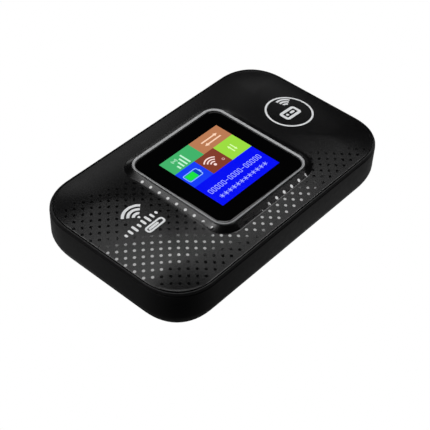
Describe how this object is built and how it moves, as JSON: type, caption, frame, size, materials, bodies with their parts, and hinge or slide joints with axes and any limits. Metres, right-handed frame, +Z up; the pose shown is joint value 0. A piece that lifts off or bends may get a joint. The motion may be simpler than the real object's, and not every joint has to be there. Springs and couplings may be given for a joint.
{
  "type": "mobile hotspot",
  "caption": "Pocket mobile hotspot: rounded black case with a square colour screen in a silver bezel, removable rear cover and battery, side power key.",
  "frame": {"origin": "middle of the flat underside, where the device stands on a table", "axes": "+X along the long side towards the USB socket, +Y towards the side with the power key and the top of the screen picture, +Z up out of the screen"},
  "size_m": [0.0964, 0.0588, 0.0176],
  "materials": {
    "case_black": "fine satin moulded plastic",
    "panel_black": "smooth satin-gloss printed panel",
    "frame_black": "satin moulded plastic",
    "bezel_silver": "satin plated ring",
    "screen_glass": "polished cover glass",
    "display": "lit colour display",
    "light_guide": "white reflector frame",
    "board_green": "solder mask",
    "shield_can": "tin-plated sheet",
    "chip_black": "moulded package",
    "switch_plastic": "natural nylon",
    "antenna_copper": "bright foil",
    "contact_gold": "gold flash",
    "steel": "nickel-plated",
    "flex_amber": "polyimide film",
    "label_white": "blank printed label",
    "battery_wrap": "grey wrapped pack"
  },
  "bodies": {
    "rear_shell": {"rear_cover": "case_black"},
    "device": {"mid_frame": "frame_black", "top_panel": "panel_black", "screen_bezel": "bezel_silver", "cover_glass": "screen_glass", "lcd_panel": "display", "lcd_backlight": "light_guide", "display_flex": "flex_amber", "display_connector": "switch_plastic", "main_board": "board_green", "baseband_shield": "shield_can", "radio_shield": "shield_can", "wifi_shield": "shield_can", "baseband_chip": "chip_black", "memory_chip": "chip_black", "power_chip": "chip_black", "transceiver_chip": "chip_black", "amplifier_chip": "chip_black", "wifi_chip": "chip_black", "main_carrier": "chip_black", "diversity_carrier": "chip_black", "wifi_carrier": "chip_black", "main_antenna": "antenna_copper", "diversity_antenna": "antenna_copper", "wifi_antenna": "antenna_copper", "usb_socket": "steel", "usb_tongue": "chip_black", "power_switch": "steel", "reset_switch": "steel", "sim_holder": "shield_can", "battery_contact_block": "chip_black", "rating_label": "label_white", "battery_spring_1": "contact_gold", "battery_spring_2": "contact_gold", "battery_spring_3": "contact_gold", "frame_screw_1": "steel", "frame_screw_2": "steel", "frame_screw_3": "steel", "frame_screw_4": "steel", "frame_screw_5": "steel", "frame_screw_6": "steel"},
    "battery": {"battery_cell": "battery_wrap", "battery_end_cap": "chip_black", "battery_label": "label_white", "battery_terminal_1": "contact_gold", "battery_terminal_2": "contact_gold", "battery_terminal_3": "contact_gold"},
    "power_key": {"power_button": "panel_black", "power_switch_stem": "switch_plastic"},
    "reset_key": {"reset_button": "switch_plastic", "reset_switch_stem": "switch_plastic"},
    "sim": {"sim_card": "label_white"}
  },
  "joints": [
    {"name": "body_lift", "type": "slide", "parent": "rear_shell", "child": "device", "axis": [0, 0, 1], "range_m": [0, 0.03]},
    {"name": "battery_lift", "type": "slide", "parent": "rear_shell", "child": "battery", "axis": [0, 0, 1], "range_m": [0, 0.0121]},
    {"name": "power_press", "type": "slide", "parent": "device", "child": "power_key", "axis": [0, -1, 0], "range_m": [0, 0.0004], "stiffness_N_per_m": 1500, "springref_m": -0.0006},
    {"name": "reset_press", "type": "slide", "parent": "device", "child": "reset_key", "axis": [0, 0, 1], "range_m": [0, 0.0003], "stiffness_N_per_m": 400, "springref_m": -0.0005},
    {"name": "sim_slide", "type": "slide", "parent": "device", "child": "sim", "axis": [0, -1, 0], "range_m": [0, 0.011]}
  ],
  "couplings": [
    {"joint": "battery_lift", "follows": "body_lift", "ratio": 0.4}
  ]
}
